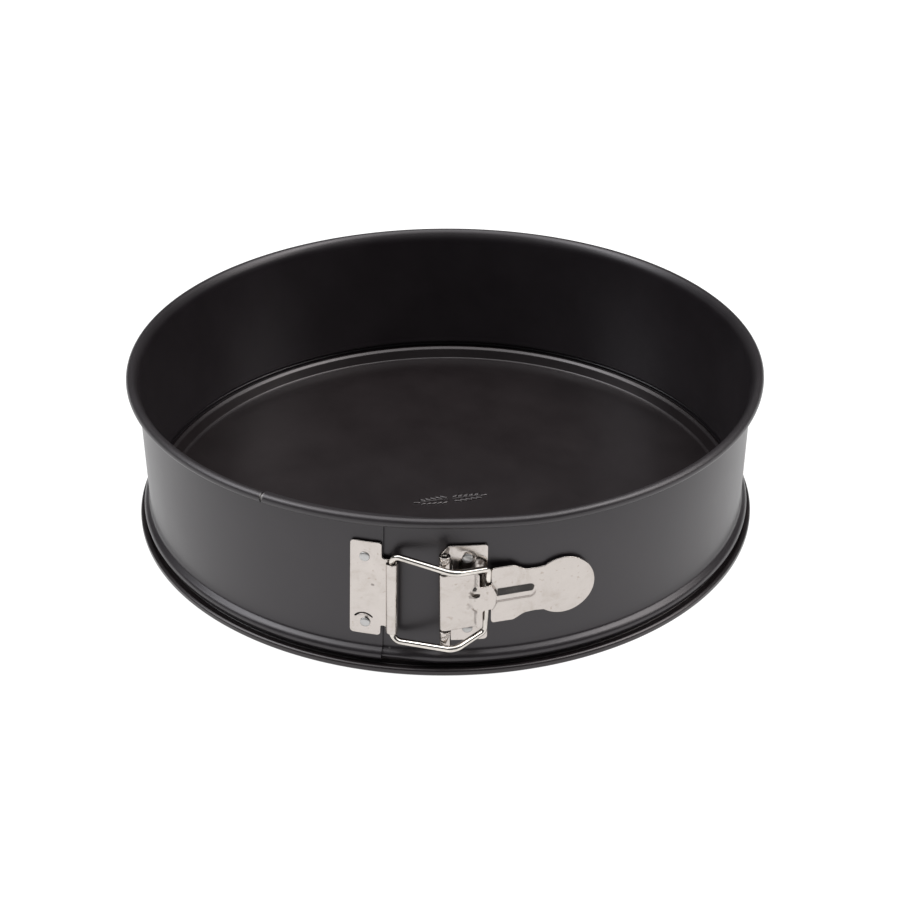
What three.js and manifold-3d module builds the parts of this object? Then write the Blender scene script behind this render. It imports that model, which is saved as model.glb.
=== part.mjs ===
// Springform pan: a flat base plate and a sprung steel band closed by a toggle latch.
// Millimetres, +Z up, the origin on the table under the middle of the base, the latch towards -Y.
import * as THREE from "three";
import { mergeVertices } from "three/addons/utils/BufferGeometryUtils.js";
import Module from "manifold-3d";

const wasm = await Module();
wasm.setup();

// ---- driving dimensions ----
const SHEET = 0.6; // band sheet thickness
const STEP = 4; // degrees between sections of the band
const BAND_END_LEFT = -9.8; // azimuth of the outer band end, from -Y towards +X
const BAND_END_RIGHT = -29.8; // azimuth of the inner band end
const FLEX_AT = 150; // azimuth of each flexing line in the band
const FLEX_R = 135.5; // radius of the flexing axis
const BASE_STEPS = 90;
const PLATE_T = 0.8; // catch plate thickness
const PLATE_IN = 130.9; // inner radius of both riveted plates
const HINGE_T = 0.9; // hinge plate and lever thickness
const PIN_R = 1.0;
const WIRE_R = 1.25;
const HINGE = [0, -136.3]; // hinge pin axis
const CATCH = [-19.3, -131.8]; // axis of the wire's fixed leg
const LEVER_SLOPE = 0.3; // closed lever leans with the receding wall
const SEAT_U = 16; // wire seat along the lever
const SEAT_N = 1.85; // wire seat off the pin axis
const MID_Z = 36; // height of the latch's middle
const WIRE_Z = 35.2; // the wire hangs a little low
const RIVET_R = 2.0;

// band sheet centre lines (radius, height), bottom edge to rolled rim
const PATH_PLAIN = [
  [131.75, 5.5], [132.75, 6.5], [133.0, 7.5], [132.5, 8.7], [131.2, 9.8], [130.3, 10.9],
  [130.3, 66.0], [130.85, 67.6], [132.1, 69.2], [133.6, 69.8], [134.8, 69.5], [135.1, 68.7], [134.7, 67.95], [133.9, 67.65],
];
const PATH_INNER = [
  [131.8, 6.75], [132.0, 7.15], [132.05, 7.55], [131.75, 8.2], [130.6, 9.2], [129.4, 10.5],
  [129.4, 65.9], [129.65, 67.3], [130.5, 68.8], [131.8, 69.7], [134.5, 69.7], [135.1, 68.8], [134.7, 67.95], [133.9, 67.65],
];
const PATH_OUTER = [
  [131.75, 5.5], [132.75, 6.5], [133.0, 7.5], [132.5, 8.7], [131.2, 9.8], [130.3, 10.9],
  [130.3, 65.8], [130.4, 66.5], [130.6, 67.1], [130.85, 67.55], [131.15, 67.95], [131.5, 68.27], [131.9, 68.5], [132.5, 68.65],
];
// base plate outline (radius, height), one closed loop from the middle of the underside
const BASE = [
  [0, 0], [125.6, 0], [126.6, 0.35], [127.6, 1.7], [128.6, 3.9], [129.3, 4.9], [130.2, 5.1], [130.55, 4.4], [130.7, 2.5], [131.6, 1.5],
  [133.5, 1.3], [134.0, 0.55], [134.7, 0.3], [135.3, 0.9], [135.35, 2.2], [134.9, 3.0], [134.2, 3.05], [133.6, 2.3], [132.2, 2.3], [131.45, 2.9],
  [131.2, 4.6], [131.0, 5.6], [130.4, 6.1], [129.6, 6.0], [128.8, 5.3], [127.9, 3.6], [126.9, 1.6], [126.0, 0.8], [0, 0.7],
];

const steel = new THREE.MeshStandardMaterial({ color: 0x3b3c40, metalness: 0.3, roughness: 0.5 });
const plated = new THREE.MeshStandardMaterial({ color: 0xd7d2c8, metalness: 0.9, roughness: 0.3 });
const group = new THREE.Group();
group.name = "springform_pan";

// ---- helpers ----
const deg = (a) => (a * Math.PI) / 180;
const at = (r, az, z) => new THREE.Vector3(r * Math.sin(deg(az)), -r * Math.cos(deg(az)), z);

function toSolid(geometry) {
  const bare = new THREE.BufferGeometry().setAttribute(
    "position",
    (geometry.index ? geometry.toNonIndexed() : geometry).getAttribute("position"),
  );
  const m = mergeVertices(bare, 1e-4);
  let tri = new Uint32Array(m.index.array);
  let s = new wasm.Manifold(new wasm.Mesh({ numProp: 3, vertProperties: m.attributes.position.array, triVerts: tri }));
  if (s.volume() < 0) {
    tri = tri.slice();
    for (let i = 0; i < tri.length; i += 3) [tri[i + 1], tri[i + 2]] = [tri[i + 2], tri[i + 1]];
    s = new wasm.Manifold(new wasm.Mesh({ numProp: 3, vertProperties: m.attributes.position.array, triVerts: tri }));
  }
  return s;
}

function addSolid(name, solid, material) {
  const m = solid.getMesh();
  const v = new Float32Array(m.numVert * 3);
  for (let i = 0; i < m.numVert; i++) v.set(m.vertProperties.subarray(i * m.numProp, i * m.numProp + 3), i * 3);
  const g = new THREE.BufferGeometry().setAttribute("position", new THREE.BufferAttribute(v, 3));
  g.setIndex(new THREE.BufferAttribute(new Uint32Array(m.triVerts), 1));
  const flat = g.toNonIndexed();
  flat.computeVertexNormals();
  const mesh = new THREE.Mesh(flat, material);
  mesh.name = name;
  group.add(mesh);
}

// closed outline of a sheet of thickness t round an open centre line
function thicken(path, t) {
  const left = [], right = [];
  for (let i = 0; i < path.length; i++) {
    const a = path[Math.max(0, i - 1)], b = path[i], c = path[Math.min(path.length - 1, i + 1)];
    const n1 = i > 0 ? unit(-(b[1] - a[1]), b[0] - a[0]) : null;
    const n2 = i < path.length - 1 ? unit(-(c[1] - b[1]), c[0] - b[0]) : null;
    let n;
    if (n1 && n2) {
      const s = unit(n1[0] + n2[0], n1[1] + n2[1]);
      const k = 1 / Math.max(0.6, s[0] * n1[0] + s[1] * n1[1]);
      n = [s[0] * k, s[1] * k];
    } else n = n1 || n2;
    left.push([b[0] + (n[0] * t) / 2, b[1] + (n[1] * t) / 2]);
    right.push([b[0] - (n[0] * t) / 2, b[1] - (n[1] * t) / 2]);
  }
  return left.concat(right.reverse());
}
const unit = (x, y) => {
  const l = Math.hypot(x, y);
  return [x / l, y / l];
};
const arc = (cx, cy, r, a0, a1, steps) =>
  Array.from({ length: steps + 1 }, (_, i) => {
    const a = deg(a0 + ((a1 - a0) * i) / steps);
    return [cx + r * Math.cos(a), cy + r * Math.sin(a)];
  });

// sections: [[azimuth, loop of (radius, height)], ...] lofted and capped
function bandSolid(sections) {
  const n = sections[0][1].length, pos = [], idx = [];
  for (const [az, loop] of sections) for (const [r, z] of loop) {
    const p = at(r, az, z);
    pos.push(p.x, p.y, p.z);
  }
  for (let s = 0; s + 1 < sections.length; s++)
    for (let i = 0; i < n; i++) {
      const j = (i + 1) % n, a = s * n + i, b = s * n + j, c = a + n, d = b + n;
      idx.push(a, b, d, a, d, c);
    }
  for (const [s, flip] of [[0, true], [sections.length - 1, false]]) {
    const loop = sections[s][1].map(([r, z]) => new THREE.Vector2(r, z));
    const ccw = !THREE.ShapeUtils.isClockWise(loop);
    for (const [a, b, c] of THREE.ShapeUtils.triangulateShape(loop, [])) {
      const turn = flip === ccw;
      idx.push(s * n + a, s * n + (turn ? c : b), s * n + (turn ? b : c));
    }
  }
  const g = new THREE.BufferGeometry().setAttribute("position", new THREE.BufferAttribute(new Float32Array(pos), 3));
  g.setIndex(idx);
  let s;
  try {
    s = toSolid(g);
  } catch (e) {
    // the other cap winding
    const k = (sections.length - 1) * n * 6;
    for (let i = k; i < idx.length; i += 3) [idx[i + 1], idx[i + 2]] = [idx[i + 2], idx[i + 1]];
    g.setIndex(idx);
    s = toSolid(g);
  }
  return s;
}

function prism(outline, z0, z1) {
  const shape = new THREE.Shape(outline.map(([x, y]) => new THREE.Vector2(x, y)));
  const g = new THREE.ExtrudeGeometry(shape, { depth: z1 - z0, bevelEnabled: false, curveSegments: 4 });
  g.translate(0, 0, z0);
  return toSolid(g);
}
// a prism drawn on (azimuth in mm along radius r, height) and bent round the wall
function wrapped(outline, rIn, rOut, cuts) {
  const shape = new THREE.Shape(outline.map(([x, y]) => new THREE.Vector2(x, y)));
  for (const h of cuts || []) shape.holes.push(new THREE.Path(h.map(([x, y]) => new THREE.Vector2(x, y))));
  const g = new THREE.ExtrudeGeometry(shape, { depth: rOut - rIn, bevelEnabled: false });
  const p = g.getAttribute("position");
  for (let i = 0; i < p.count; i++) {
    const az = (p.getX(i) / PLATE_IN) * (180 / Math.PI), q = at(rIn + p.getZ(i), az, p.getY(i));
    p.setXYZ(i, q.x, q.y, q.z);
  }
  return toSolid(g);
}
const mm = (az) => deg(az) * PLATE_IN;
const mix = (a, b, k) => a.map((p, i) => [p[0] + (b[i][0] - p[0]) * k, p[1] + (b[i][1] - p[1]) * k]);
const steps = (a, b) => {
  const out = [a];
  for (let k = Math.ceil((a + 1e-6) / STEP) * STEP; k < b - 0.7; k += STEP) if (k - a > 0.7) out.push(k);
  out.push(b);
  return out;
};
// a round bar or hole along the outward direction at (azimuth, height)
function radialBar(az, z, profile, segs = 16) {
  // profile: (radius from its own axis, distance from the pan axis), closed on its axis
  const g = new THREE.LatheGeometry(profile.map(([a, b]) => new THREE.Vector2(a, b)), segs);
  g.rotateX(Math.PI / 2); // its axis is now +Z of the lathe turned to -Y ... +Y
  const m = new THREE.Matrix4().makeBasis(at(1, az + 90, 0), new THREE.Vector3(0, 0, 1), at(1, az, 0));
  const turned = g.clone();
  // lathe axis is Z after the turn; Z maps to the outward direction
  const p = turned.getAttribute("position");
  const v = new THREE.Vector3();
  for (let i = 0; i < p.count; i++) {
    v.fromBufferAttribute(p, i).applyMatrix4(m);
    p.setXYZ(i, v.x, v.y, v.z + z);
  }
  return toSolid(turned);
}

// ---- base plate ----
{
  const pts = BASE.map(([r, z]) => new THREE.Vector2(r, z));
  const g = new THREE.LatheGeometry(pts, BASE_STEPS);
  g.rotateX(Math.PI / 2);
  addSolid("base_plate", toSolid(g), steel);
}

// ---- rivet places ----
const RIVETS = {
  catch_rivet_upper: [-13.1, 50.8, 130.06],
  catch_rivet_lower: [-13.1, 21.2, 130.06],
  hinge_rivet_upper: [3.9, 51.2, 129.2],
  hinge_rivet_lower: [3.9, 20.8, 129.2],
};
const hole = (name, r) => radialBar(RIVETS[name][0], RIVETS[name][1], [[0, 125], [r, 125], [r, 136], [0, 136]]);

// ---- band: three arcs of one sprung strip ----
{
  const plain = thicken(PATH_PLAIN, SHEET), inner = thicken(PATH_INNER, SHEET), outer = thicken(PATH_OUTER, SHEET);
  const gap = 0.07;
  const back = steps(FLEX_AT + gap, 360 - FLEX_AT - gap).map((az) => [az, plain]);
  addSolid("band_back_arc", bandSolid(back), steel);

  const left = [];
  for (const az of steps(-FLEX_AT + gap, BAND_END_RIGHT - 0.6)) left.push([az, plain]);
  for (const az of steps(BAND_END_RIGHT - 0.3, BAND_END_LEFT)) left.push([az, outer]);
  let solid = bandSolid(left);
  for (const k of ["catch_rivet_upper", "catch_rivet_lower"]) solid = solid.subtract(hole(k, 1.6));
  addSolid("band_left_arc", solid, steel);

  const right = [];
  for (const az of steps(BAND_END_RIGHT, -8.4)) right.push([az, inner]);
  for (const [az, k] of [[-7, 0.94], [-5, 0.68], [-3, 0.32], [-1.4, 0.08]]) right.push([az, mix(plain, inner, k)]);
  for (const az of steps(0, FLEX_AT - gap)) right.push([az, plain]);
  solid = bandSolid(right);
  for (const k of ["hinge_rivet_upper", "hinge_rivet_lower"]) solid = solid.subtract(hole(k, 1.6));
  addSolid("band_right_arc", solid, steel);
}

// ---- catch plate with its curl round the wire ----
{
  const x0 = mm(-15.4), x1 = mm(-10.2), c = 1.2, xs = (a, b, n) => Array.from({ length: n + 1 }, (_, i) => a + ((b - a) * i) / n);
  const z0 = 15.4, z1 = 57.4;
  const outline = [[x0, z0 + c], [x0 + 0.35, z0 + 0.35], [x0 + c, z0]]
    .concat(xs(x0 + c, x1, 4).slice(1, -1).map((x) => [x, z0]))
    .concat([[x1 - c, z0], [x1 - 0.35, z0 + 0.35], [x1, z0 + c], [x1, z1 - c], [x1 - 0.35, z1 - 0.35], [x1 - c, z1]])
    .concat(xs(x1, x0 + c, 4).slice(1, -1).map((x) => [x, z1]))
    .concat([[x0 + c, z1], [x0 + 0.35, z1 - 0.35], [x0, z1 - c]]);
  const clean = outline.filter((p, i) => {
    const q = outline[(i + 1) % outline.length];
    return Math.hypot(p[0] - q[0], p[1] - q[1]) > 0.05;
  });
  let solid = wrapped(clean, PLATE_IN, PLATE_IN + PLATE_T);
  const mid = PLATE_IN + PLATE_T / 2;
  const a0 = Math.atan2(-CATCH[1], -CATCH[0]) * (180 / Math.PI); // towards the pan axis
  const wall = [-12.2, -11.2, -10.2, -9.4].map((az) => {
    const p = at(mid, az, 0);
    return [p.x, p.y];
  });
  const curl = thicken(wall.concat(arc(CATCH[0], CATCH[1], 1.98, a0, a0 - 296, 20)), 0.7);
  solid = solid.add(prism(curl, 19.4, 52.2));
  for (const k of ["catch_rivet_upper", "catch_rivet_lower"]) solid = solid.subtract(hole(k, 1.6));
  addSolid("catch_plate", solid, plated);
}

// ---- hinge plate with two knuckles ----
{
  const x0 = mm(2.0), x1 = mm(6.9), c = 1.2, z0 = 14.6, z1 = 57.4, xm = (x0 + x1) / 2;
  let solid = wrapped(
    [[x0, z0], [xm, z0], [x1 - c, z0], [x1, z0 + c], [x1, z1 - c], [x1 - c, z1], [xm, z1], [x0, z1]],
    PLATE_IN, PLATE_IN + HINGE_T,
  );
  const mid = PLATE_IN + HINGE_T / 2;
  const wall = [4.4, 3.6, 2.8].map((az) => {
    const p = at(mid, az, 0);
    return [p.x, p.y];
  });
  const from = wall[wall.length - 1], dx = HINGE[0] - from[0], dy = HINGE[1] - from[1], R = 1.8;
  const a = Math.atan2(dy, dx) + Math.asin(R / Math.hypot(dx, dy)); // tangent on the outward side
  const start = (a * 180) / Math.PI + 90;
  const knuckle = thicken(wall.concat(arc(HINGE[0], HINGE[1], R, start, start - 262, 18)), HINGE_T);
  solid = solid.add(prism(knuckle, 49.2, 56.6)).add(prism(knuckle, 15.4, 22.8));
  // the folded web between the plate and the knuckles
  const web = thicken(wall.concat([[from[0] + 0.42 * dx, from[1] + 0.42 * dy - 0.3]]), HINGE_T);
  solid = solid.add(prism(web, 14.8, 57.2));
  for (const k of ["hinge_rivet_upper", "hinge_rivet_lower"]) solid = solid.subtract(hole(k, 1.6));
  addSolid("hinge_plate", solid, plated);
}

// ---- hinge pin ----
{
  const g = new THREE.LatheGeometry(
    [[0, 14.9], [PIN_R - 0.2, 14.9], [PIN_R, 15.1], [PIN_R, 56.9], [PIN_R - 0.2, 57.1], [0, 57.1]].map(([r, z]) => new THREE.Vector2(r, z)),
    16,
  );
  g.rotateX(Math.PI / 2);
  g.translate(HINGE[0], HINGE[1], 0);
  addSolid("hinge_pin", toSolid(g), plated);
}

// ---- rivets ----
for (const [name, [az, z, rin]] of Object.entries(RIVETS)) {
  const top = name.startsWith("hinge") ? PLATE_IN + HINGE_T + 0.3 : PLATE_IN + PLATE_T + 0.3;
  const inner = name.startsWith("hinge")
    ? [[0, rin], [RIVET_R + 0.2, rin], [RIVET_R + 0.2, rin + 0.45], [1.3, rin + 0.45]]
    : [[0, rin], [1.3, rin]];
  addSolid(
    name,
    radialBar(az, z, inner.concat([[1.3, top], [RIVET_R, top], [RIVET_R - 0.25, top + 0.45], [RIVET_R - 0.9, top + 0.78], [0, top + 0.9]])),
    plated,
  );
}

// ---- lever ----
{
  const l = Math.hypot(1, LEVER_SLOPE), t = [1 / l, LEVER_SLOPE / l], n = [t[1], -t[0]];
  const place = new THREE.Matrix4().makeBasis(
    new THREE.Vector3(t[0], t[1], 0), new THREE.Vector3(-n[0], -n[1], 0), new THREE.Vector3(0, 0, 1),
  );
  place.setPosition(HINGE[0], HINGE[1], 0);
  // drawn with x along the lever and y towards the wall
  const N = 1.8, sheet = (pts) => thicken(pts.map(([u, v]) => [u, -v]), HINGE_T);
  const barrel = arc(0, 0, N, 90, 330, 18).map(([u, v]) => [u, v]);
  let solid = prism(sheet([[11.1, N], [8, N], [4, N]].concat(barrel)), 23.6, 48.4);
  solid = solid.add(prism(sheet([[8.6, N], [9.7, N], [10.8, 4.1], [17.8, 4.1], [18.9, N], [21, N]]), 31.1, 40.7));
  // handle outline (along, height from the middle)
  const half = [[17.7, 11.2], [18.6, 12.2], [20, 12.6], [28.5, 12.5], [32, 11.0], [34.5, 10.3], [37.5, 10.4]];
  const pad = arc(45.9, 0, 12.4, 124, -124, 22);
  const outline = half.concat(pad).concat(half.slice().reverse().map(([u, v]) => [u, -v]));
  const shape = new THREE.Shape(outline.map(([u, v]) => new THREE.Vector2(u, v)));
  const flat = new THREE.ExtrudeGeometry(shape, { depth: HINGE_T, bevelEnabled: false });
  const turn = new THREE.Matrix4().set(1, 0, 0, 0, 0, 0, -1, -(N - HINGE_T / 2), 0, 1, 0, MID_Z, 0, 0, 0, 1);
  flat.applyMatrix4(turn);
  solid = solid.add(toSolid(flat));
  const rib = prism([[18.2, -(N + 0.3)], [19.4, -(N + 1.75)], [33.6, -(N + 1.3)], [35.2, -(N + 0.3)]], MID_Z - 2.7, MID_Z + 2.7);
  solid = solid.add(rib);
  const e = place.elements;
  addSolid("lever", solid.transform([...e]), plated);
}

// ---- wire bail: one closed loop ----
{
  const l = Math.hypot(1, LEVER_SLOPE), t = [1 / l, LEVER_SLOPE / l], n = [t[1], -t[0]];
  const W = [HINGE[0] + SEAT_U * t[0] + SEAT_N * n[0], HINGE[1] + SEAT_U * t[1] + SEAT_N * n[1]];
  const corner = [
    [CATCH[0], CATCH[1], -18.6, 2.2], [3.4, -142.5, -17, 4], [W[0], W[1], -14.9, 1.9],
    [W[0], W[1], 14.9, 1.9], [3.4, -142.5, 17, 4], [CATCH[0], CATCH[1], 18.6, 2.2],
  ].map(([x, y, z, r]) => ({ p: new THREE.Vector3(x, y, WIRE_Z + z), r }));
  const path = new THREE.CurvePath();
  const pts = [];
  corner.forEach(({ p, r }, i) => {
    const a = corner[(i + corner.length - 1) % corner.length].p, b = corner[(i + 1) % corner.length].p;
    const p0 = p.clone().add(a.clone().sub(p).setLength(r)), p1 = p.clone().add(b.clone().sub(p).setLength(r));
    for (let k = 0; k <= 5; k++) pts.push(new THREE.QuadraticBezierCurve3(p0, p, p1).getPoint(k / 5));
  });
  // swept ring of sections with parallel-carried frames
  const m = pts.length, S = 10, tang = pts.map((p, i) => pts[(i + 1) % m].clone().sub(pts[(i + m - 1) % m]).normalize());
  let u = new THREE.Vector3(0, -1, 0).cross(tang[0]).normalize();
  const frames = [];
  for (let i = 0; i < m; i++) {
    u = u.clone().sub(tang[i].clone().multiplyScalar(u.dot(tang[i]))).normalize();
    frames.push([u.clone(), tang[i].clone().cross(u)]);
  }
  let back = u.clone().sub(tang[0].clone().multiplyScalar(u.dot(tang[0]))).normalize();
  const twist = Math.atan2(back.dot(frames[0][1]), back.dot(frames[0][0]));
  const pos = [], idx = [];
  for (let i = 0; i < m; i++)
    for (let k = 0; k < S; k++) {
      const a = (2 * Math.PI * k) / S - (twist * i) / m;
      const v = pts[i].clone().addScaledVector(frames[i][0], WIRE_R * Math.cos(a)).addScaledVector(frames[i][1], WIRE_R * Math.sin(a));
      pos.push(v.x, v.y, v.z);
    }
  for (let i = 0; i < m; i++)
    for (let k = 0; k < S; k++) {
      const i2 = (i + 1) % m, k2 = (k + 1) % S;
      const a = i * S + k, b = i * S + k2, c = i2 * S + k, d = i2 * S + k2;
      idx.push(a, b, d, a, d, c);
    }
  const g = new THREE.BufferGeometry().setAttribute("position", new THREE.BufferAttribute(new Float32Array(pos), 3));
  g.setIndex(idx);
  addSolid("wire_bail", toSolid(g), plated);
}

export default group;
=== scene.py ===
import bpy
import math
import numpy as np
from mathutils import Matrix, Vector
from mathutils.geometry import delaunay_2d_cdt


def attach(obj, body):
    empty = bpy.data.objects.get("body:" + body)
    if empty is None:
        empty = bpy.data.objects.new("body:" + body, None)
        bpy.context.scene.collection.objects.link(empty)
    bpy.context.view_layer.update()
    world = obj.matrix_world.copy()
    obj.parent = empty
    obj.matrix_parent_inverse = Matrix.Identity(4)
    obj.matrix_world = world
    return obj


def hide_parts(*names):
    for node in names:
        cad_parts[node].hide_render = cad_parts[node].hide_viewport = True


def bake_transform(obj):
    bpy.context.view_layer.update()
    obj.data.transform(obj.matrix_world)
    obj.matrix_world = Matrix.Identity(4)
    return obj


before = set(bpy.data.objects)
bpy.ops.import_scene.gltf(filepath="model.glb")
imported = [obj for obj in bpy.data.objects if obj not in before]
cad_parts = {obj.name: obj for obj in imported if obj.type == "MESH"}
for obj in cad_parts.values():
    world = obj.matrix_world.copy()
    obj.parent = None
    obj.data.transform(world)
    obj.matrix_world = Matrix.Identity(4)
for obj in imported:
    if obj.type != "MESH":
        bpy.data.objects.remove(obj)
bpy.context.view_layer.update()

MM = 0.001
RNG = np.random.default_rng(7)


# ------------------------------------------------------------------ helpers
def smooth(a, b, x):
    t = np.clip((x - a) / (b - a), 0.0, 1.0)
    return t * t * (3 - 2 * t)


def az_point(r, az):
    a = math.radians(az)
    return np.array([r * math.sin(a), -r * math.cos(a)])


def new_object(name, verts_mm, faces, material, normals=None, flat=False):
    me = bpy.data.meshes.new(name)
    me.from_pydata([tuple(v) for v in np.asarray(verts_mm) * MM], [], faces)
    me.validate(clean_customdata=False)
    me.polygons.foreach_set("use_smooth", [not flat] * len(me.polygons))
    me.materials.append(material)
    me.update()
    if normals is not None:
        me.normals_split_custom_set_from_vertices([tuple(n) for n in normals])
    ob = bpy.data.objects.new(name, me)
    bpy.context.scene.collection.objects.link(ob)
    return ob


def catmull(points, step):
    """A smooth line through the points, resampled evenly."""
    p = np.asarray(points, float)
    p = np.vstack([2 * p[0] - p[1], p, 2 * p[-1] - p[-2]])
    out = []
    for i in range(1, len(p) - 2):
        a, b, c, d = p[i - 1], p[i], p[i + 1], p[i + 2]
        t0, t1 = 0.0, np.linalg.norm(b - a) ** 0.5
        t2 = t1 + np.linalg.norm(c - b) ** 0.5
        t3 = t2 + np.linalg.norm(d - c) ** 0.5
        for t in np.linspace(t1, t2, 24, endpoint=False):
            A1 = (t1 - t) / (t1 - t0) * a + (t - t0) / (t1 - t0) * b
            A2 = (t2 - t) / (t2 - t1) * b + (t - t1) / (t2 - t1) * c
            A3 = (t3 - t) / (t3 - t2) * c + (t - t2) / (t3 - t2) * d
            B1 = (t2 - t) / (t2 - t0) * A1 + (t - t0) / (t2 - t0) * A2
            B2 = (t3 - t) / (t3 - t1) * A2 + (t - t1) / (t3 - t1) * A3
            out.append((t2 - t) / (t2 - t1) * B1 + (t - t1) / (t2 - t1) * B2)
    out.append(p[-2])
    return np.array(out)


def length_of(p, closed=False):
    q = np.vstack([p, p[:1]]) if closed else p
    return np.concatenate([[0], np.cumsum(np.linalg.norm(np.diff(q, axis=0), axis=1))])


def resample(p, n, closed=False):
    q = np.vstack([p, p[:1]]) if closed else p
    s = length_of(p, closed)
    t = np.linspace(0, s[-1], n, endpoint=not closed)
    return np.stack([np.interp(t, s, q[:, k]) for k in range(q.shape[1])], 1)


def fillet(points, closed=True, seg=8):
    """points: (x, y, radius); corners become arcs."""
    n = len(points)
    out = []
    for i, (x, y, r) in enumerate(points):
        p = np.array([x, y], float)
        if not closed and i in (0, n - 1) or r <= 0:
            out.append(p)
            continue
        a = np.array(points[(i - 1) % n][:2], float) - p
        b = np.array(points[(i + 1) % n][:2], float) - p
        la, lb = np.linalg.norm(a), np.linalg.norm(b)
        a, b = a / la, b / lb
        half = math.acos(max(-1, min(1, float(a @ b)))) / 2
        if half > math.radians(89):
            out.append(p)
            continue
        d = min(r / math.tan(half), la * 0.49, lb * 0.49)
        rr = d * math.tan(half)
        c = p + (a + b) / np.linalg.norm(a + b) * (rr / math.sin(half))
        p0, p1 = p + a * d - c, p + b * d - c
        w = math.acos(max(-1, min(1, float(p0 @ p1) / (rr * rr))))
        for k in range(seg + 1):
            t = k / seg
            out.append(c + (math.sin((1 - t) * w) * p0 + math.sin(t * w) * p1) / math.sin(w))
    return np.array(out)


def grid_faces(rows, cols, close_rows=False, close_cols=False, flip=False):
    f = []
    for i in range(rows if close_rows else rows - 1):
        for j in range(cols if close_cols else cols - 1):
            a, b = i * cols + j, i * cols + (j + 1) % cols
            c, d = ((i + 1) % rows) * cols + (j + 1) % cols, ((i + 1) % rows) * cols + j
            f.append((a, d, c, b) if flip else (a, b, c, d))
    return f


# ------------------------------------------------------------------ materials
def shader(name, color, metallic, rough, **sockets):
    m = bpy.data.materials.new(name)
    m.use_nodes = True
    nt = m.node_tree
    bsdf = nt.nodes["Principled BSDF"]
    bsdf.inputs["Base Color"].default_value = (*color, 1)
    bsdf.inputs["Metallic"].default_value = metallic
    bsdf.inputs["Roughness"].default_value = rough
    for k, v in sockets.items():
        bsdf.inputs[k.replace("_", " ")].default_value = v
    return m, nt, bsdf


def node(nt, kind, **props):
    n = nt.nodes.new(kind)
    for k, v in props.items():
        if k in n.inputs.keys() if hasattr(n.inputs, "keys") else False:
            n.inputs[k].default_value = v
        else:
            setattr(n, k, v)
    return n


def noise(nt, vec, scale, detail=4.0, rough=0.55, distort=0.0):
    n = nt.nodes.new("ShaderNodeTexNoise")
    n.inputs["Scale"].default_value = scale
    n.inputs["Detail"].default_value = detail
    n.inputs["Roughness"].default_value = rough
    n.inputs["Distortion"].default_value = distort
    nt.links.new(vec, n.inputs["Vector"])
    return n.outputs["Fac"]


def ramp(nt, fac, stops):
    n = nt.nodes.new("ShaderNodeValToRGB")
    while len(n.color_ramp.elements) < len(stops):
        n.color_ramp.elements.new(0.5)
    for e, (p, c) in zip(n.color_ramp.elements, stops):
        e.position = p
        e.color = (*c, 1) if len(c) == 3 else c
    nt.links.new(fac, n.inputs["Fac"])
    return n.outputs["Color"]


def map_range(nt, fac, a, b, c, d):
    n = nt.nodes.new("ShaderNodeMapRange")
    n.inputs["From Min"].default_value = a
    n.inputs["From Max"].default_value = b
    n.inputs["To Min"].default_value = c
    n.inputs["To Max"].default_value = d
    nt.links.new(fac, n.inputs["Value"])
    return n.outputs["Result"]


def math_node(nt, op, a, b):
    n = nt.nodes.new("ShaderNodeMath")
    n.operation = op
    for i, x in enumerate((a, b)):
        if isinstance(x, (int, float)):
            n.inputs[i].default_value = x
        else:
            nt.links.new(x, n.inputs[i])
    return n.outputs[0]


def mix_color(nt, fac, a, b):
    n = nt.nodes.new("ShaderNodeMix")
    n.data_type = "RGBA"
    if isinstance(fac, (int, float)):
        n.inputs[0].default_value = fac
    else:
        nt.links.new(fac, n.inputs[0])
    for i, x in ((6, a), (7, b)):
        if isinstance(x, tuple):
            n.inputs[i].default_value = (*x, 1)
        else:
            nt.links.new(x, n.inputs[i])
    return n.outputs[2]


def bump(nt, bsdf, height, strength, distance, prev=None):
    n = nt.nodes.new("ShaderNodeBump")
    n.inputs["Strength"].default_value = strength
    n.inputs["Distance"].default_value = distance
    nt.links.new(height, n.inputs["Height"])
    if prev is not None:
        nt.links.new(prev, n.inputs["Normal"])
    nt.links.new(n.outputs["Normal"], bsdf.inputs["Normal"])
    return n.outputs["Normal"]


def object_coords(nt, scale=(1, 1, 1)):
    t = nt.nodes.new("ShaderNodeTexCoord")
    m = nt.nodes.new("ShaderNodeMapping")
    m.inputs["Scale"].default_value = scale
    nt.links.new(t.outputs["Object"], m.inputs["Vector"])
    return m.outputs["Vector"]


def near(nt, spots):
    """1 close to any of the listed points (metres), falling to 0 at the given distance."""
    t = nt.nodes.new("ShaderNodeTexCoord")
    wob = nt.nodes.new("ShaderNodeTexNoise")
    wob.inputs["Scale"].default_value = 900
    wob.inputs["Detail"].default_value = 3
    nt.links.new(t.outputs["Object"], wob.inputs["Vector"])
    total = None
    for point, reach, strength in spots:
        d = nt.nodes.new("ShaderNodeVectorMath")
        d.operation = "DISTANCE"
        nt.links.new(t.outputs["Object"], d.inputs[0])
        d.inputs[1].default_value = point
        dist = math_node(nt, "ADD", d.outputs["Value"], map_range(nt, wob.outputs["Fac"], 0.3, 0.7, -reach * 0.35, reach * 0.35))
        m = map_range(nt, dist, reach * 0.35, reach, strength, 0.0)
        total = m if total is None else math_node(nt, "MAXIMUM", total, m)
    return total


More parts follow.
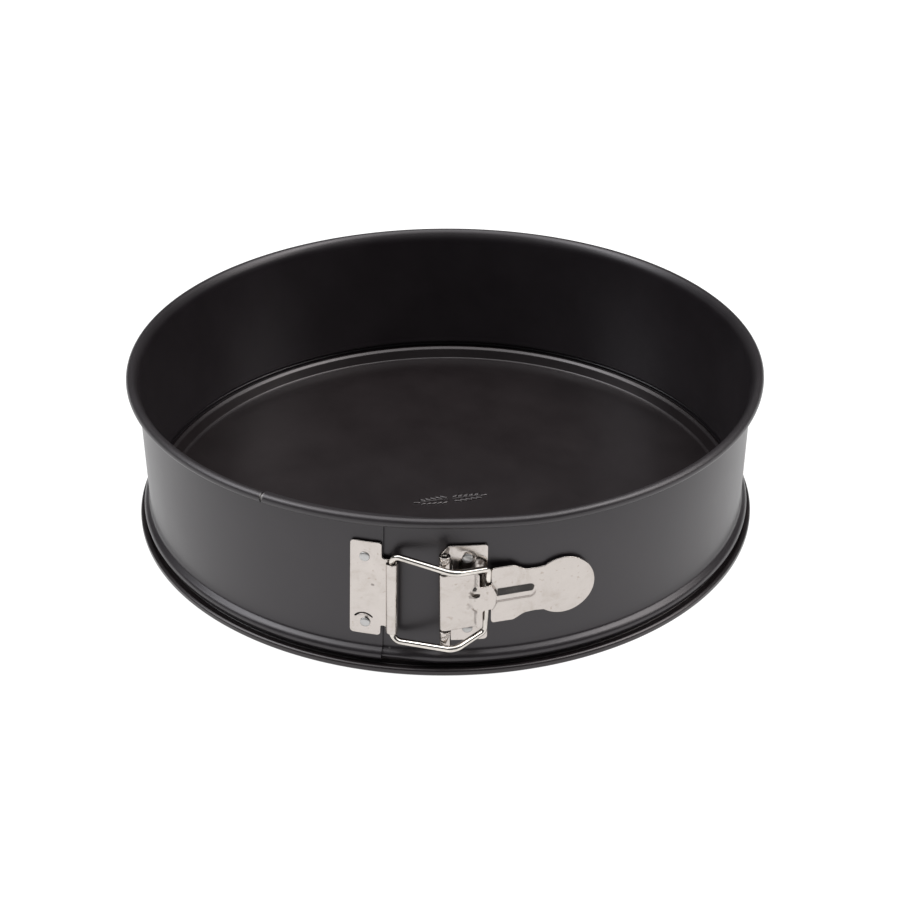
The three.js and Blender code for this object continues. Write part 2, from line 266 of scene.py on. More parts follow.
def coated_steel(name, base, rough, seed, tint=(1.0, 0.965, 0.995), pale_spots=(), rim=0.0):
    """Satin non-stick coating over pressed sheet: fine orange peel and faint mottling."""
    m, nt, b = shader(name, base, 0.0, rough, IOR=1.545)
    v = object_coords(nt)
    v2 = object_coords(nt, (1 + seed * 0.01, 1, 1.0))
    mott = noise(nt, v2, 38, 5, 0.6)
    cloud = noise(nt, v, 9, 3, 0.5)
    speck = noise(nt, v, 1400, 2, 0.5)
    dark = tuple(c * 0.86 for c in base)
    light = tuple(c * 1.14 + 0.001 for c in base)
    col = ramp(nt, mott, [(0.32, dark), (0.7, light)])
    col = mix_color(nt, map_range(nt, speck, 0.62, 0.72, 0.0, 0.22), col, tuple(c * 1.9 for c in base))
    if rim:
        # the rolled edge is a little paler and duller: partly handling wear, partly painted highlight widening the
        # shine on the roll
        sep = nt.nodes.new("ShaderNodeSeparateXYZ")
        nt.links.new(v, sep.inputs["Vector"])
        rim_wear_and_sheen = map_range(nt, sep.outputs["Z"], 0.0662, 0.0678, 0.0, 1.0)
        col = mix_color(nt, math_node(nt, "MULTIPLY", rim_wear_and_sheen, 0.2), col, (0.026, 0.0242, 0.0236))
    # pale spots at the listed points: a pale mark on the bead by the seam, and a painted highlight on the rim standing
    # in for the small step at the lap
    if pale_spots:
        col = mix_color(nt, near(nt, pale_spots), col, (0.55, 0.53, 0.51))
    nt.links.new(col, b.inputs["Base Color"])
    b.inputs["Specular Tint"].default_value = (*tint, 1)
    r = math_node(nt, "ADD", map_range(nt, mott, 0.3, 0.7, rough - 0.02, rough + 0.02), map_range(nt, cloud, 0.3, 0.7, -0.007, 0.007))
    if rim:
        r = math_node(nt, "ADD", r, math_node(nt, "MULTIPLY", rim_wear_and_sheen, rim))
    nt.links.new(r, b.inputs["Roughness"])
    n1 = bump(nt, b, noise(nt, v, 900, 3, 0.6), 0.10, 0.00006)
    bump(nt, b, noise(nt, v, 160, 2, 0.5), 0.08, 0.00012, n1)
    return m


def plated_steel(name, base, rough, seed, stretch=(1, 1, 1), shade_spots=()):
    """Tin-plated pressed steel: faint rolling lines, soft stains, fine handling scratches; painted shade in concave
    creases and at any listed shade spots.
    """
    m, nt, b = shader(name, base, 1.0, rough)
    v = object_coords(nt, (1.0 + 0.013 * seed, 1, 1))
    lines = object_coords(nt, stretch)
    stain = noise(nt, v, 130, 5, 0.62, 0.4)
    soft = noise(nt, v, 45, 3, 0.5)
    fine = noise(nt, lines, 900, 4, 0.6)
    scr = nt.nodes.new("ShaderNodeTexWave")
    scr.inputs["Scale"].default_value = 260
    scr.inputs["Distortion"].default_value = 9.0
    scr.inputs["Detail"].default_value = 4.0
    nt.links.new(lines, scr.inputs["Vector"])
    dirty = tuple(c * k for c, k in zip(base, (0.88, 0.865, 0.84)))
    light = tuple(min(0.93, c * 1.05) for c in base)
    col = ramp(nt, stain, [(0.28, dirty), (0.45, base), (0.75, light)])
    col = mix_color(nt, map_range(nt, soft, 0.35, 0.65, 0.0, 0.25), col, tuple(c * 0.92 for c in base))
    # painted shade: concave creases and recesses are darkened in the colour
    geo = nt.nodes.new("ShaderNodeNewGeometry")
    col = mix_color(nt, map_range(nt, geo.outputs["Pointiness"], 0.40, 0.49, 0.5, 0.0), col, tuple(c * 0.35 for c in base))
    # fine brownish specks, sparse
    specks = noise(nt, v, 620, 2, 0.5)
    col = mix_color(nt, map_range(nt, specks, 0.66, 0.74, 0.0, 0.45), col, tuple(c * k for c, k in zip(base, (0.62, 0.56, 0.50))))
    # painted shade: dark patches at the listed spots, where the latch's hollows, the lever's hole and the pin top sit
    # in shadow
    if shade_spots:
        col = mix_color(nt, near(nt, shade_spots), col, (0.055, 0.042, 0.034))
    nt.links.new(col, b.inputs["Base Color"])
    r = math_node(nt, "ADD", map_range(nt, stain, 0.3, 0.7, rough + 0.06, rough - 0.03), map_range(nt, fine, 0.35, 0.65, -0.03, 0.05))
    nt.links.new(r, b.inputs["Roughness"])
    n1 = bump(nt, b, fine, 0.10, 0.00003)
    n2 = bump(nt, b, scr.outputs["Fac"], 0.05, 0.00002, n1)
    bump(nt, b, soft, 0.12, 0.0002, n2)
    return m


def wire_metal(name, base, rough):
    m, nt, b = shader(name, base, 1.0, rough)
    v = object_coords(nt, (1, 1, 1))
    draw = noise(nt, object_coords(nt, (0.25, 1, 1)), 1500, 3, 0.6)
    blot = noise(nt, v, 220, 4, 0.6)
    nt.links.new(ramp(nt, blot, [(0.33, tuple(c * 0.78 for c in base)), (0.6, base)]), b.inputs["Base Color"])
    nt.links.new(map_range(nt, blot, 0.3, 0.7, rough + 0.07, rough - 0.02), b.inputs["Roughness"])
    bump(nt, b, draw, 0.06, 0.00002)
    return m


# the band's two pale spots: a pale mark on the bead by the seam, and a painted highlight for the step at the rim's lap
MAT_BAND = coated_steel("coated_band", (0.0135, 0.0110, 0.0128), 0.34, 1, (1.0, 0.965, 0.995), [((-0.02156, -0.1297, 0.0093), 0.0012, 0.95), ((-0.0671, -0.1160, 0.0690), 0.0013, 0.55)], 0.03)
MAT_BASE = coated_steel("coated_base", (0.0104, 0.0080, 0.0085), 0.30, 2, (1.0, 0.945, 0.965))
# the listed spots on the catch and hinge plates and on the lever are painted shade, dark where these parts lie in
# shadow
MAT_PLATE = plated_steel("plated_plate", (0.532, 0.490, 0.462), 0.16, 1, (1, 1, 0.12), [
    ((-0.0268, -0.1285, 0.0385), 0.0009, 0.75), ((-0.0204, -0.1305, 0.0197), 0.0011, 0.6), ((0.0012, -0.1327, 0.0565), 0.0012, 0.55),
    ((-0.0002, -0.1368, 0.0564), 0.0021, 0.85), ((0.0134, -0.1315, 0.0500), 0.0024, 0.9), ((0.0112, -0.1318, 0.0490), 0.0016, 0.5),
])
MAT_LEVER = plated_steel("plated_lever", (0.521, 0.480, 0.452), 0.16, 2, (0.12, 0.12, 1), [
    ((0.0106, -0.1355, 0.0384), 0.0022, 0.85), ((0.0165, -0.1346, 0.0275), 0.0016, 0.55), ((0.0128, -0.1350, 0.0418), 0.0012, 0.8),
    ((0.0090, -0.1360, 0.0335), 0.0016, 0.25), ((0.0180, -0.1345, 0.0452), 0.0014, 0.35),
])
MAT_WIRE = wire_metal("bright_wire", (0.665, 0.625, 0.58), 0.13)
MAT_RIVET = plated_steel("rivet_metal", (0.47, 0.465, 0.46), 0.36, 3)
# the listed spot on the pin top is painted shade
MAT_PIN = plated_steel("pin_steel", (0.56, 0.55, 0.52), 0.28, 4, shade_spots=[((0, -0.1363, 0.0572), 0.0022, 0.9)])


# ------------------------------------------------------------------ base plate
BASE = [
    (0, 0.7, 0), (125.2, 0.7, 1.2), (126.5, 1.15, 0.9), (128.25, 5.2, 1.3), (129.7, 6.45, 1.0),
    (130.95, 5.75, 0.5), (131.0, 4.3, 1.0),
    (131.15, 2.05, 0.35), (132.75, 2.0, 0.5), (133.3, 3.0, 0.6), (134.5, 3.3, 1.0), (135.33, 2.6, 0.95), (135.33, 0.95, 0.6),
    (134.8, 0.28, 0.4), (134.1, 0.4, 0.4), (133.5, 1.3, 0.5), (131.5, 1.4, 0.5), (130.55, 2.2, 0.6), (130.4, 4.2, 0.5),
    (130.15, 5.25, 0.3), (129.4, 5.25, 0.4), (128.95, 4.2, 0.8), (128.2, 0.7, 0.8), (127.2, 0, 1.0), (0, 0, 0),
]


def base_plate():
    prof = fillet(BASE, closed=False, seg=7)
    top_n = int(np.argmax(prof[:, 0] > 120))
    # rings on the flat floor and under it
    inner = [(r, 0.7) for r in np.concatenate([[0], np.geomspace(2, 119, 26)])]
    rest = [tuple(p) for p in prof if p[0] > 120]
    under = [(r, 0.0) for r in np.concatenate([np.geomspace(120, 2, 12), [0]])]
    pts = np.array(inner + rest + under)
    # drop doubles
    keep = [0]
    for i in range(1, len(pts)):
        if np.linalg.norm(pts[i] - pts[keep[-1]]) > 0.02:
            keep.append(i)
    pts = pts[keep]
    seg = 360
    verts = [(0, 0, pts[0][1])]
    ring = pts[1:-1]
    ang = np.radians(np.arange(seg) * 360 / seg)
    for r, z in ring:
        # the thin floor is pulled very slightly hollow by the pressing
        zz = z + (0.0 if r > 120 or z < 0.5 else 0.18 * (1 - (r / 120) ** 2) ** 2 * -1)
        verts += [(r * math.sin(a), -r * math.cos(a), zz) for a in ang]
    verts.append((0, 0, pts[-1][1]))
    verts[0] = (0, 0, 0.7 - 0.18)
    n = len(ring)
    faces = []
    for j in range(seg):
        faces.append((0, 1 + j, 1 + (j + 1) % seg))
    for i in range(n - 1):
        for j in range(seg):
            a, b = 1 + i * seg + j, 1 + i * seg + (j + 1) % seg
            c, d = b + seg, a + seg
            faces.append((a, d, c, b))
    last = len(verts) - 1
    for j in range(seg):
        a = 1 + (n - 1) * seg
        faces.append((last, a + (j + 1) % seg, a + j))
    return new_object("base_plate_visual", verts, faces, MAT_BASE)


base = base_plate()
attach(base, "base")
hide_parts("base_plate")


# a small pressed ear-of-grain mark in the floor, symmetric about the middle
def emblem():
    verts, faces = [], []

    def grain(cx, cy, ang, la, lb, h):
        n, k = 28, 6
        base_i = len(verts)
        ca, sa = math.cos(ang), math.sin(ang)
        for i in range(k):
            t = i / k
            rr = math.cos(t * math.pi / 2) ** 0.8
            z = h * math.sin(t * math.pi / 2)
            for j in range(n):
                a = 2 * math.pi * j / n
                x, y = la * rr * math.cos(a), lb * rr * math.sin(a) * (1 - 0.35 * math.cos(a))
                verts.append((cx + ca * x - sa * y, cy + sa * x + ca * y, 0.42 + z))
        verts.append((cx, cy, 0.42 + h))
        for i in range(k - 1):
            for j in range(n):
                a, b = base_i + i * n + j, base_i + i * n + (j + 1) % n
                faces.append((a, b, b + n, a + n))
        top = len(verts) - 1
        for j in range(n):
            faces.append((base_i + (k - 1) * n + j, base_i + (k - 1) * n + (j + 1) % n, top))
        faces.append(tuple(base_i + j for j in reversed(range(n))))

    turn = math.radians(12)
    ct, st = math.cos(turn), math.sin(turn)

    def put(x, y, ang, la, lb, h):
        grain(2.2 + ct * x - st * y, -9.8 + st * x + ct * y, ang + turn, la, lb, h)

    for side in (-1, 1):
        for i in range(5):
            x = 2.9 + i * 2.4
            for up in (-1, 1):
                ang = (0.62 if up > 0 else -0.62)
                if side < 0:
                    ang = math.pi - ang
                put(side * x, up * (2.3 - i * 0.18), ang, 2.2 - 0.12 * i, 0.98, 0.82)
        put(side * 15.3, 0, 0 if side > 0 else math.pi, 1.9, 0.85, 0.75)
        put(side * 7.7, 0, 0, 7.0, 0.42, 0.62)
    return new_object("base_emblem", verts, faces, MAT_BASE)


emb = emblem()
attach(emb, "base")

# ------------------------------------------------------------------ band
T = 0.6
BEAD = [(131.85, 4.5), (132.38, 5.0), (132.85, 5.7), (133.05, 6.5), (132.95, 7.3), (132.45, 8.05), (131.55, 8.75), (130.8, 9.4), (130.42, 10.3), (130.3, 11.5)]
ROLL = [(133.12 + 1.72 * math.cos(math.radians(q)), 68.02 + 1.72 * math.sin(math.radians(q))) for q in range(112, -158, -11)]
PATH_PLAIN = BEAD + [(130.3, 25), (130.3, 40), (130.3, 52), (130.3, 64.3), (130.36, 65.6), (130.62, 66.9), (131.08, 67.95), (131.7, 68.9)] + ROLL
PATH_INNER = [
    (131.78, 5.75), (131.92, 6.0), (132.03, 6.25), (132.05, 6.6), (131.97, 6.95), (131.5, 7.5), (130.65, 8.2), (129.85, 9.05), (129.47, 10.1), (129.4, 11.7),
    (129.4, 25), (129.4, 40), (129.4, 52), (129.4, 64.3), (129.44, 65.7), (129.64, 67.0), (130.15, 68.25), (130.95, 69.15), (131.75, 69.58),
] + ROLL[1:]
PATH_OUTER = BEAD + [
    (130.3, 25), (130.3, 40), (130.3, 52), (130.3, 62.5), (130.3, 64.6), (130.31, 65.4), (130.36, 66.1), (130.48, 66.7), (130.7, 67.25), (130.98, 67.7), (131.3, 68.05), (131.6, 68.28), (131.85, 68.42), (132.05, 68.5), (132.2, 68.55),
]
Z_LOW, Z_HIGH = 12.6, 64.0


def sheet_loop(path, t=T, fill=0.0):
    """Closed smooth loop round a sheet's section, with half-round edges. Always the same number of points, and the
    same heights up the plain wall, so two sections blend cleanly."""
    c = catmull(path, 0.2)

    def at_height(z, start):
        i = start + int(np.argmax(c[start:, 1] > z))
        k = (z - c[i - 1, 1]) / (c[i, 1] - c[i - 1, 1])
        return i, c[i - 1] * (1 - k) + c[i] * k

    i1, p1 = at_height(Z_LOW, 0)
    i2, p2 = at_height(Z_HIGH, i1)
    c = np.vstack([
        resample(np.vstack([c[:i1], p1]), 32)[:-1],
        resample(np.vstack([p1, c[i1:i2], p2]), 10)[:-1],
        resample(np.vstack([p2, c[i2:]]), 44),
    ])
    d = np.gradient(c, axis=0)
    d /= np.linalg.norm(d, axis=1)[:, None]
    nrm = np.stack([-d[:, 1], d[:, 0]], 1)
    left, right = c + nrm * t / 2, c - nrm * t / 2
    # the inside of the bead is pressed less sharply than the outside
    thick = fill * (np.exp(-((c[:, 1:] - 8.8) / 1.25) ** 2) + 1.3 * np.exp(-((c[:, 1:] - 6.3) / 1.1) ** 2))
    if nrm[40, 0] < 0:
        left = left + nrm * thick
    else:
        right = right - nrm * thick
    cap = []
    for i in range(1, 6):
        a = math.pi * i / 6
        cap.append(c[-1] + (nrm[-1] * math.cos(a) + d[-1] * math.sin(a)) * t / 2)
    cap2 = []
    for i in range(1, 6):
        a = math.pi * i / 6
        cap2.append(c[0] + (-nrm[0] * math.cos(a) - d[0] * math.sin(a)) * t / 2)
    return np.vstack([left, cap, right[::-1], cap2])


LOOP_PLAIN, LOOP_INNER, LOOP_OUTER = sheet_loop(PATH_PLAIN, fill=0.75), sheet_loop(PATH_INNER), sheet_loop(PATH_OUTER)


def settle(az):
    """How far the right-hand side of the ring has been eased out by use: full near 25 degrees, none past 80."""
    return smooth(2, 18, az) * (1 - smooth(40, 80, az))


def band(name, azs, section, ends, skew=None):
    """Loft a section round the axis; skew(azimuth) turns the sheet's end a little out of square, in mm per mm of height."""
    loops = np.array([section(a) for a in azs])
    ease = settle(np.array(azs))[:, None] * smooth(14, 66, loops[:, :, 1])
    loops = loops + np.stack([1.05 * ease, -0.32 * ease], -1)
    n_az, n = loops.shape[:2]
    a = np.radians(np.array(azs))
    rhat = np.stack([np.sin(a), -np.cos(a), 0 * a], 1)
    that = np.stack([np.cos(a), np.sin(a), 0 * a], 1)
    zhat = np.array([0, 0, 1.0])
    P = rhat[:, None, :] * loops[:, :, :1] + zhat * loops[:, :, 1:]
    dloop = np.gradient(loops, a, axis=0)
    dloop[0] = dloop[-1] = 0
    dPa = rhat[:, None, :] * dloop[:, :, :1] + that[:, None, :] * loops[:, :, :1] + zhat * dloop[:, :, 1:]
    ds = (np.roll(loops, -1, axis=1) - np.roll(loops, 1, axis=1))
    dPs = rhat[:, None, :] * ds[:, :, :1] + zhat * ds[:, :, 1:]
    N = np.cross(dPs, dPa)
    N /= np.linalg.norm(N, axis=2)[:, :, None]
    # outward normal of the section in (radius, height)
    l = loops[0]
    area = 0.5 * np.sum(l[:, 0] * np.roll(l[:, 1], -1) - np.roll(l[:, 0], -1) * l[:, 1])
    out2 = np.stack([ds[0][:, 1], -ds[0][:, 0]], 1) * np.sign(area)
    if np.sum((N[0] @ rhat[0]) * out2[:, 0] + N[0][:, 2] * out2[:, 1]) < 0:
        N = -N
    increasing = azs[-1] > azs[0]
    if skew is not None:
        w = (P[:, :, 2] - 62.0) * np.array([skew(x) for x in azs])[:, None] / 130.0

        def turn(v):
            return np.stack([v[..., 0] * np.cos(w) - v[..., 1] * np.sin(w), v[..., 0] * np.sin(w) + v[..., 1] * np.cos(w), v[..., 2]], -1)

        P, N = turn(P), turn(N)
    verts = P.reshape(-1, 3).tolist()
    normals = N.reshape(-1, 3).tolist()
    faces = grid_faces(n_az, n, close_cols=True)
    q = [P.reshape(-1, 3)[i] for i in faces[40]]
    if np.cross(q[1] - q[0], q[2] - q[0]) @ N.reshape(-1, 3)[faces[40][0]] < 0:
        faces = [tuple(reversed(f)) for f in faces]
    # end caps, on their own vertices, each as a strip across the sheet
    m = 84 + 5
    for e, (row, closed) in enumerate(zip((0, n_az - 1), ends)):
        b = len(verts)
        out = -that[row] if (row == 0) == increasing else that[row]
        verts += P[row].tolist()
        normals += [tuple(out)] * n
        half = n // 2
        order = list(range(n))
        quads = []
        # points i on one side face n-1-i shifted on the other
        left = [b + i for i in range(84)]
        right = [b + 84 + 5 + (83 - i) for i in range(84)]
        for i in range(83):
            quads.append((left[i], left[i + 1], right[i + 1], right[i]))
        c1 = [left[83]] + [b + 84 + i for i in range(5)] + [right[83]]
        c2 = [right[0]] + [b + 84 + 5 + 84 + i for i in range(5)] + [left[0]]
        quads += [tuple(c1), tuple(c2)]
        q = quads[0]
        v = [np.array(verts[k]) for k in q]
        nn = np.cross(v[1] - v[0], v[2] - v[0])
        if nn @ out < 0:
            quads = [tuple(reversed(k)) for k in quads]
        # polygon orientation of the round ends may differ
        fixed = []
        for k in quads:
            v = [np.array(verts[i]) for i in k]
            nn = sum(np.cross(v[i] - v[0], v[i + 1] - v[0]) for i in range(1, len(v) - 1))
            fixed.append(k if nn @ out > 0 else tuple(reversed(k)))
        faces += fixed
    return new_object(name, verts, faces, MAT_BAND, normals)


def left_section(a):
    k = float(smooth(-30.05, -30.22, a))
    return LOOP_OUTER * (1 - k) + LOOP_PLAIN * k


def right_section(a):
    k = float(1 - smooth(-8.6, -0.8, a))
    return LOOP_PLAIN * (1 - k) + LOOP_INNER * k


az_left = sorted(set(np.round(np.concatenate([np.arange(-180, -30.9, 0.75), [-30.5, -30.3, -30.22, -30.18, -30.14, -30.1, -30.05, -30.0], np.arange(-29.5, -14.2, 0.75), np.arange(-14, -9.9, 0.35), [-9.95, -9.8]]), 3)))
az_right = sorted(set(np.round(np.concatenate([[-29.98, -29.8], np.arange(-29.25, -9, 0.75), np.arange(-9, 0.1, 0.5), np.arange(0.75, 180.01, 0.75)]), 3)))
band_left = band("band_left_visual", list(az_left), left_section, (False, True), lambda x: 0.030 * float(smooth(-14, -9.8, x)))
band_right = band("band_right_visual", list(az_right), right_section, (True, False))
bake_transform(band_left)
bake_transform(band_right)
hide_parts("band_left_arc", "band_back_arc")
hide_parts("band_right_arc")


# ------------------------------------------------------------------ pressed sheet pieces
def inside(poly_loops, pts):
    """Even-odd test of points against closed loops."""
    x, y = pts[:, 0], pts[:, 1]
    c = np.zeros(len(pts), bool)
    for lp in poly_loops:
        x0, y0 = lp[:, 0], lp[:, 1]
        x1, y1 = np.roll(x0, -1), np.roll(y0, -1)
        for i in range(len(lp)):
            if y0[i] == y1[i]:
                continue
            hit = (y0[i] > y) != (y1[i] > y)
            c ^= hit & (x < (x1[i] - x0[i]) * (y - y0[i]) / (y1[i] - y0[i]) + x0[i])
    return c


def signed_area(lp):
    return 0.5 * np.sum(lp[:, 0] * np.roll(lp[:, 1], -1) - np.roll(lp[:, 0], -1) * lp[:, 1])


def sheet_piece(name, loops, place, t, material, rb=0.24, pitch=0.55, edge=0.4, K=4):
    """A pressed sheet: flat pattern loops (outer first, then holes) in mm, rounded edges, bent by place(s, v, h) -> xyz."""
    rings2 = []
    for i, lp in enumerate(loops):
        lp = resample(np.asarray(lp, float), max(16, int(length_of(np.asarray(lp, float), True)[-1] / edge)), True)
        if (signed_area(lp) > 0) != (i == 0):
            lp = lp[::-1]
        d = np.roll(lp, -1, axis=0) - np.roll(lp, 1, axis=0)
        d /= np.linalg.norm(d, axis=1)[:, None]
        rings2.append((lp, np.stack([-d[:, 1], d[:, 0]], 1)))  # inward is to the left of a counter-clockwise loop
    steps = []
    for k in range(K + 1):
        a = math.pi / 2 * k / K
        steps.append((rb * (1 - math.sin(a)), t / 2 - rb * (1 - math.cos(a)), a))
    steps += [(d, -h, math.pi - a) for d, h, a in reversed(steps)]
    inset = [lp + n * rb for lp, n in rings2]
    # interior points
    lo, hi = inset[0].min(0), inset[0].max(0)
    gx, gy = np.meshgrid(np.arange(lo[0], hi[0], pitch), np.arange(lo[1], hi[1], pitch))
    g = np.stack([gx.ravel(), gy.ravel()], 1)
    g[:, 0] += 0.5 * pitch * ((np.arange(len(g)) // gx.shape[1]) % 2)
    g = g[inside(inset, g)]
    allb = np.vstack(inset)
    keep = np.ones(len(g), bool)
    for i in range(0, len(g), 2000):
        dd = np.min(np.linalg.norm(g[i:i + 2000, None, :] - allb[None], axis=2), axis=1)
        keep[i:i + 2000] = dd > 0.45 * edge
    g = g[keep]
    p2 = np.vstack([allb, g])
    edges, o = [], 0
    for lp in inset:
        n = len(lp)
        edges += [(o + i, o + (i + 1) % n) for i in range(n)]
        o += n
    ov, oe, of_, ovi, oei, ofi = delaunay_2d_cdt([Vector(p) for p in p2], edges, [], 0, 1e-7)
    ov = np.array([tuple(v) for v in ov])
    tri = np.array([f for f in of_ if len(f) == 3])
    cen = ov[tri].mean(1)
    tri = tri[inside(inset, cen)]
    back = np.array([v[0] if len(v) else -1 for v in ovi])
    tri = back[tri]
    tri = tri[(tri >= 0).all(1)]
    verts2, hs, angs, outw = [], [], [], []
    nb = len(allb)
    # top sheet: ring 0 and interior
    ringno = []
    idx_ring = []
    cursor = 0
    for (d, h, a) in steps:
        for lp, n in rings2:
            verts2.append(lp + n * d)
            hs.append(np.full(len(lp), h))
            angs.append(np.full(len(lp), a))
            outw.append(-n)
        idx_ring.append(cursor)
        cursor += nb
    top0 = cursor
    verts2.append(g)
    hs.append(np.full(len(g), t / 2))
    angs.append(np.zeros(len(g)))
    outw.append(np.zeros((len(g), 2)))
    cursor += len(g)
    bot0 = cursor
    verts2.append(g)
    hs.append(np.full(len(g), -t / 2))
    angs.append(np.full(len(g), math.pi))
    outw.append(np.zeros((len(g), 2)))
    S = np.vstack(verts2)
    Hh, A, O = np.concatenate(hs), np.concatenate(angs), np.vstack(outw)
    P = place(S[:, 0], S[:, 1], Hh)
    e = 0.02
    es = (place(S[:, 0] + e, S[:, 1], Hh) - place(S[:, 0] - e, S[:, 1], Hh)) / (2 * e)
    ev = (place(S[:, 0], S[:, 1] + e, Hh) - place(S[:, 0], S[:, 1] - e, Hh)) / (2 * e)
    eh = (place(S[:, 0], S[:, 1], Hh + e) - place(S[:, 0], S[:, 1], Hh - e)) / (2 * e)
    N = np.cross(es, ev)
    N /= np.linalg.norm(N, axis=1)[:, None]
    sign = np.sign(np.sum(N * eh, axis=1))
    flip = np.median(sign) < 0
    N *= sign[:, None]
    side = es * O[:, :1] + ev * O[:, 1:]
    L = np.linalg.norm(side, axis=1)
    side /= np.where(L > 0, L, 1)[:, None]
    NN = N * np.cos(A)[:, None] + side * np.sin(A)[:, None]
    NN /= np.linalg.norm(NN, axis=1)[:, None]
    faces = []

    def top_i(k):
        return k if k < nb else top0 + (k - nb)

    def bot_i(k):
        return idx_ring[-1] + k if k < nb else bot0 + (k - nb)

    for a, b, c in tri.tolist():
        if np.cross(p2[b] - p2[a], p2[c] - p2[a]) < 0:
            b, c = c, b
        faces.append((top_i(a), top_i(b), top_i(c)))
        faces.append((bot_i(a), bot_i(c), bot_i(b)))
    o = 0
    for lp, _ in rings2:
        n = len(lp)
        for r in range(len(steps) - 1):
            if steps[r][:2] == steps[r + 1][:2]:
                continue
            for i in range(n):
                a, b = idx_ring[r] + o + i, idx_ring[r] + o + (i + 1) % n
                c, d2 = idx_ring[r + 1] + o + (i + 1) % n, idx_ring[r + 1] + o + i
                faces.append((a, d2, c, b))
        o += n
    if flip:
        faces = [tuple(reversed(f)) for f in faces]
    return new_object(name, P, faces, material, NN)


class PlanPath:
    """A line in plan followed by arc length; +h is to its right-hand or left-hand side as given."""

    def __init__(self, pts, outward_left):
        p = np.asarray(pts, float)
        s = length_of(p)
        n = int(s[-1] / 0.04)
        self.p = resample(p, n)
        self.s = length_of(self.p)
        d = np.gradient(self.p, axis=0)
        # smooth the direction a little so bends are round
        k = np.ones(5) / 5
        d = np.stack([np.convolve(np.pad(d[:, i], 2, mode="edge"), k, mode="valid") for i in (0, 1)], 1)
        d /= np.linalg.norm(d, axis=1)[:, None]
        self.d = d
        nrm = np.stack([-d[:, 1], d[:, 0]], 1)
        self.n = nrm if outward_left else -nrm

    def at(self, s):
        s0 = np.clip(s, 0, self.s[-1])
        over = (s - s0)[:, None]
        q = np.stack([np.interp(s0, self.s, self.p[:, i]) for i in (0, 1)], 1)
        dd = np.stack([np.interp(s0, self.s, self.d[:, i]) for i in (0, 1)], 1)
        nn = np.stack([np.interp(s0, self.s, self.n[:, i]) for i in (0, 1)], 1)
        nn /= np.linalg.norm(nn, axis=1)[:, None]
        return q + dd * over, nn


HINGE = np.array([0.0, -136.3])
CATCH = np.array([-19.3, -131.8])
LT = np.array([1.0, 0.3]) / math.hypot(1, 0.3)
LN = np.array([LT[1], -LT[0]])
SEAT = HINGE + 16 * LT + 1.85 * LN


def circle_pts(c, r, a0, a1, n=90):
    a = np.radians(np.linspace(a0, a1, n))
    return np.stack([c[0] + r * np.cos(a), c[1] + r * np.sin(a)], 1)


LEAN = 0.024


# ---- catch plate
def catch_plate():
    t = 0.75
    r = 130.92 + t / 2
    wall = np.array([az_point(r, a) for a in np.linspace(-15.4, -9.3, 60)])
    a0 = math.degrees(math.atan2(-CATCH[1], -CATCH[0]))
    curl = circle_pts(CATCH, 1.98, a0, a0 - 292)
    path = PlanPath(np.vstack([wall, curl]), outward_left=False)
    s1 = math.radians(-10.2 + 15.4) * r
    total = path.s[-1]
    sc = lambda az: math.radians(az + 15.4) * r
    outline = fillet([
        (0, 15.5, 1.5), (s1, 15.3, 1.3), (s1 + 0.1, 19.9, 0.5), (s1 + 1.2, 19.9, 0.8), (s1 + 2.6, 18.4, 1.5), (total, 19.2, 0.4), (total, 49.9, 0.4), (s1 + 0.2, 50.4, 0.9),
        (s1, 57.3, 1.3), (0, 57.5, 1.5),
    ], seg=8)
    # lanced crescent above the lower rivet
    cx, cz = sc(-13.02), 20.95
    arcp = []
    for a in np.linspace(148, 34, 26):
        arcp.append((cx + 4.35 * math.cos(math.radians(a)), cz + 4.35 * math.sin(math.radians(a)) * 0.98))
    for a in np.linspace(34, 148, 26):
        w = 0.30 + 0.26 * math.sin(math.pi * (a - 34) / 114) + 0.30 * max(0.0, (a - 91) / 57)
        arcp.append((cx + (4.35 - w) * math.cos(math.radians(a)), cz + (4.35 - w) * math.sin(math.radians(a)) * 0.98))
    slot = np.array(arcp)

    def place(s, v, h):
        # edge of the plate pressed close to the wall; the lance's lower lip stands proud
        dr = np.hypot(s - cx, v - cz)
        up = (v > cz)
        lip = 0.24 * smooth(2.9, 3.9, dr) * (1 - smooth(4.05, 4.3, dr)) * np.clip((v - cz - 1.5) / 1.5, 0, 1)
        riv = 0
        for az, zz in ((-12.9, 50.65), (-13.2, 20.9)):
            d = np.hypot(s - sc(az), v - zz)
            riv = riv - 0.16 * np.exp(-((d - 2.5) / 0.45) ** 2)
        wav = 0.05 * np.sin(v * 0.42 + 1.0) * np.sin(s * 0.5)
        q, n = path.at(s)
        k = (1 - smooth(s1 - 1, s1 + 1, s)) * (lip + riv + wav + 0.05)
        q = q + n * (h + k)[:, None]
        # riveted on a touch out of square: it leans round the wall
        plate = (v - 47) * 0.040
        curl = (v - 45) * LEAN
        w = (plate + (curl - plate) * smooth(s1 - 0.5, s1 + 2.5, s)) / 131.0
        x, y = q[:, 0] * np.cos(w) - q[:, 1] * np.sin(w), q[:, 0] * np.sin(w) + q[:, 1] * np.cos(w)
        return np.stack([x, y, v], 1)

    return sheet_piece("catch_plate_visual", [outline, slot], place, t, MAT_PLATE, rb=0.26)


cp = catch_plate()
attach(cp, "band_left")
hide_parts("catch_plate")


